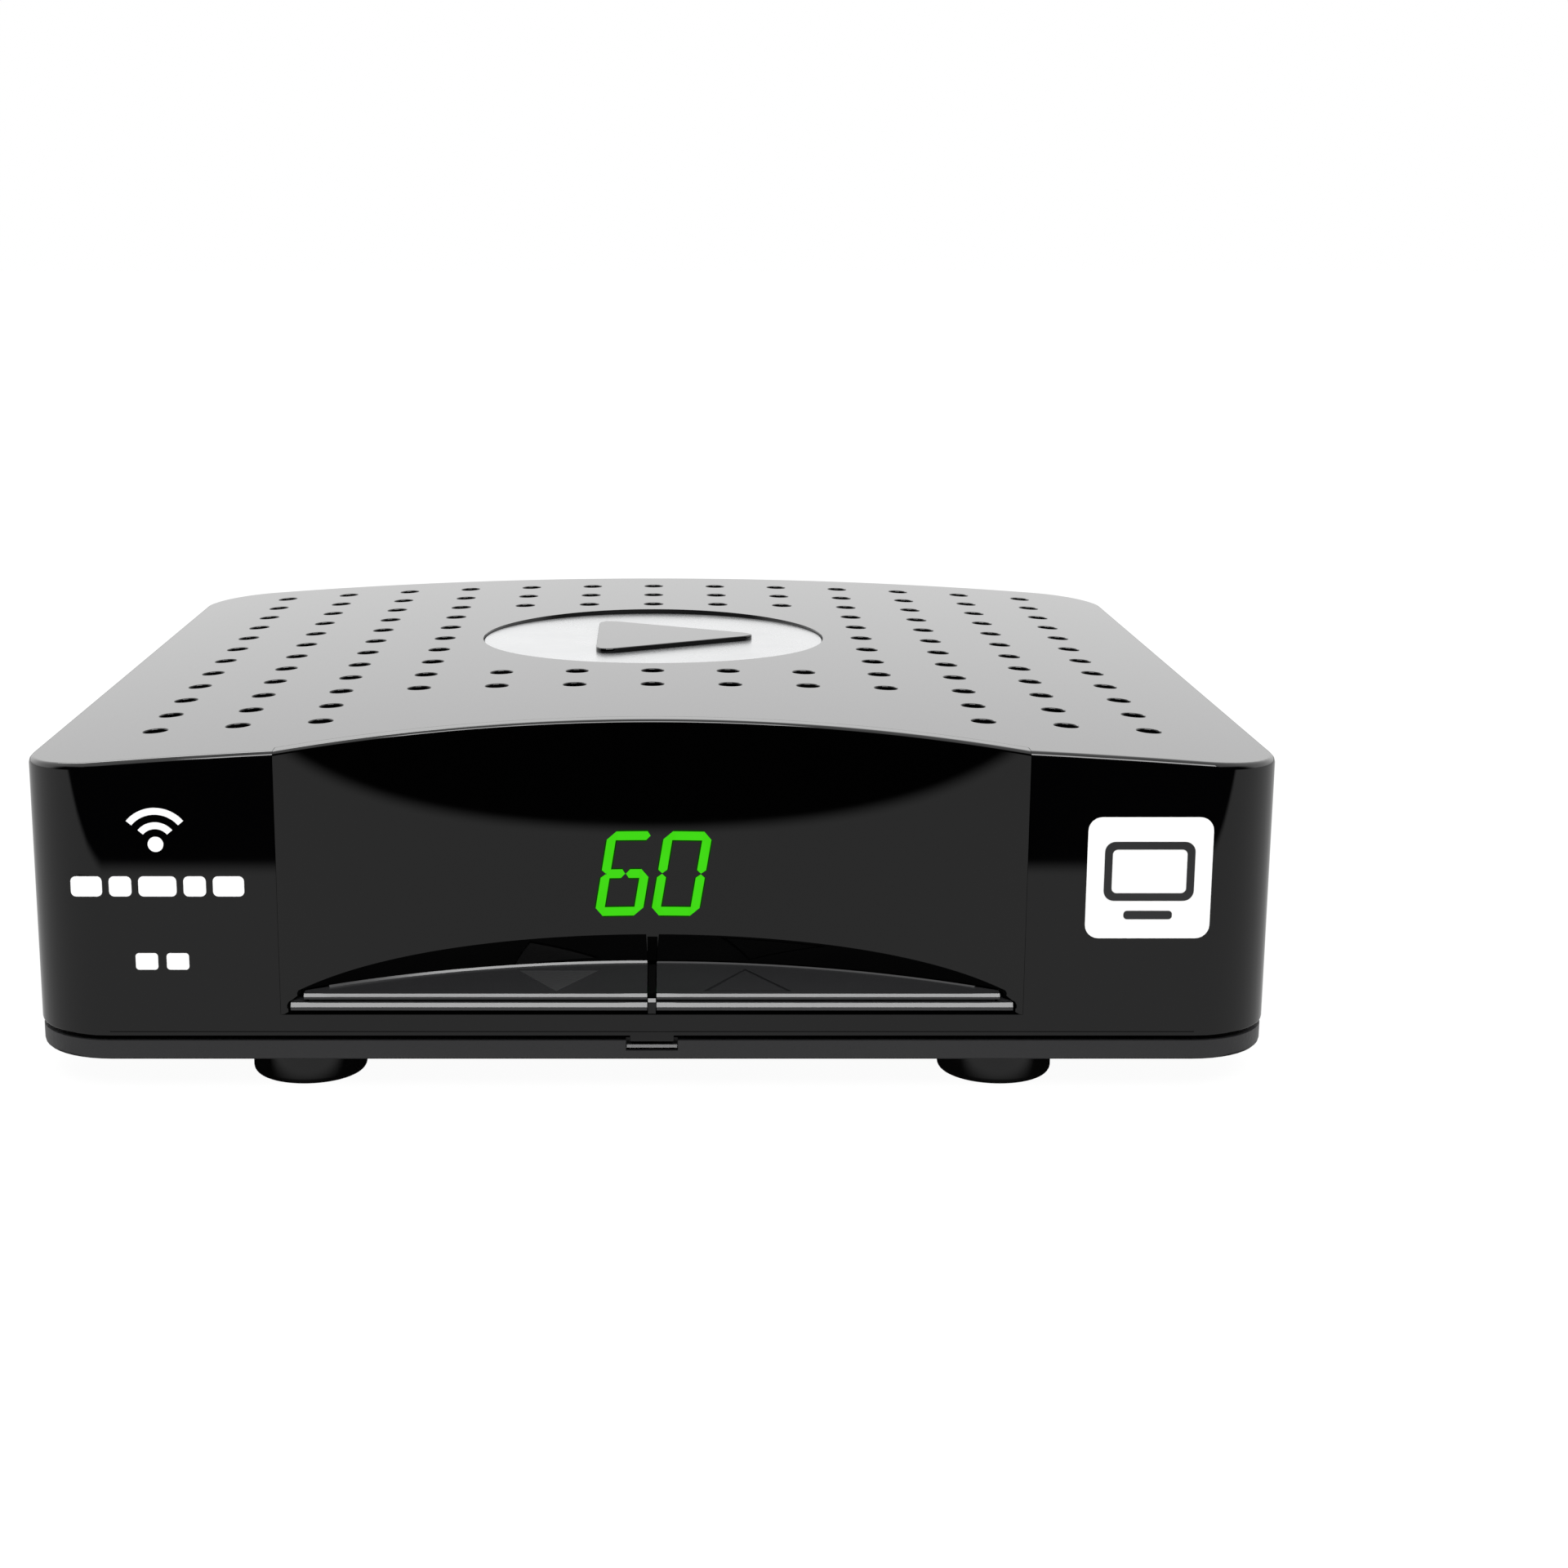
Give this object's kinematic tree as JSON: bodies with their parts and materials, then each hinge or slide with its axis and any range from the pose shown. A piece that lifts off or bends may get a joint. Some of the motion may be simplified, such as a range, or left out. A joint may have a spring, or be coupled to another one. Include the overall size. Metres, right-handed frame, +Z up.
{
  "type": "dvr recorder",
  "caption": "Small gloss black set-top recorder with a vented crowned cover, scooped window with a digital display, channel keys, rear sockets and rubber feet.",
  "frame": {"origin": "on the surface the feet stand on, under the middle of the whole box with its rear sockets", "axes": "-Y is the front with the display, +X is to the right seen from the front, +Z is up"},
  "size_m": [0.1466, 0.144, 0.0421],
  "materials": {
    "cover_plastic": "polished black",
    "window_smoked": "smoked, polished",
    "emblem_silver": "satin",
    "emblem_black": "polished",
    "tray_plastic": "fine texture",
    "foot_rubber": "matte",
    "key_plastic": "polished black",
    "actuator_white": "matte",
    "component_black": "matte",
    "board_laminate": "solder mask",
    "led_grey": "matte",
    "ribbon_grey": "matte",
    "tinplate": "tinned",
    "socket_nickel": "nickel plated",
    "phono_yellow": "satin",
    "phono_white": "satin",
    "phono_red": "satin",
    "heatsink_aluminium": "extruded",
    "capacitor_sleeve": "satin",
    "inductor_ferrite": "matte",
    "panel_steel": "satin black",
    "screw_steel": "zinc plated"
  },
  "bodies": {
    "case": {"top_cover": "cover_plastic", "display_window": "window_smoked", "emblem_plate": "emblem_silver", "emblem_symbol": "emblem_black", "base_tray": "tray_plastic", "foot_front_left": "foot_rubber", "foot_front_right": "foot_rubber", "foot_rear_left": "foot_rubber", "foot_rear_right": "foot_rubber", "channel_down_switch": "component_black", "channel_up_switch": "component_black", "key_board": "board_laminate", "display_board": "board_laminate", "main_board": "board_laminate", "led_display": "led_grey", "remote_receiver": "component_black", "ribbon_cable": "ribbon_grey", "tuner_can": "tinplate", "crystal": "tinplate", "usb_socket": "tinplate", "aerial_input": "socket_nickel", "aerial_output": "socket_nickel", "phono_yellow": "phono_yellow", "phono_white": "phono_white", "phono_red": "phono_red", "supply_socket": "component_black", "rf_switch_body": "component_black", "main_chip": "component_black", "memory_chip": "component_black", "heatsink": "heatsink_aluminium", "capacitor_input": "capacitor_sleeve", "capacitor_output": "capacitor_sleeve", "capacitor_tuner": "capacitor_sleeve", "inductor": "inductor_ferrite", "rear_panel": "panel_steel", "case_screw_front_left": "screw_steel", "case_screw_front_right": "screw_steel", "case_screw_rear_left": "screw_steel", "case_screw_rear_right": "screw_steel", "board_screw_front_left": "screw_steel", "board_screw_front_right": "screw_steel", "board_screw_rear_left": "screw_steel", "board_screw_rear_right": "screw_steel"},
    "channel_down_key": {"channel_down_key": "key_plastic"},
    "channel_up_key": {"channel_up_key": "key_plastic"},
    "channel_down_plunger": {"channel_down_plunger": "actuator_white"},
    "channel_up_plunger": {"channel_up_plunger": "actuator_white"},
    "rf_switch_slider": {"rf_switch_slider": "actuator_white"}
  },
  "joints": [
    {"name": "channel_down_press", "type": "slide", "parent": "case", "child": "channel_down_key", "axis": [0, 0, -1], "range_m": [0, 0.0004], "stiffness_N_per_m": 3000},
    {"name": "channel_up_press", "type": "slide", "parent": "case", "child": "channel_up_key", "axis": [0, 0, -1], "range_m": [0, 0.0004], "stiffness_N_per_m": 3000},
    {"name": "channel_down_plunge", "type": "slide", "parent": "case", "child": "channel_down_plunger", "axis": [0, 0, -1], "range_m": [0, 0.0004]},
    {"name": "channel_up_plunge", "type": "slide", "parent": "case", "child": "channel_up_plunger", "axis": [0, 0, -1], "range_m": [0, 0.0004]},
    {"name": "rf_switch_slide", "type": "slide", "parent": "case", "child": "rf_switch_slider", "axis": [1, 0, 0], "range_m": [0, 0.002]}
  ],
  "couplings": [
    {"joint": "channel_down_plunge", "follows": "channel_down_press", "ratio": 1},
    {"joint": "channel_up_plunge", "follows": "channel_up_press", "ratio": 1}
  ]
}
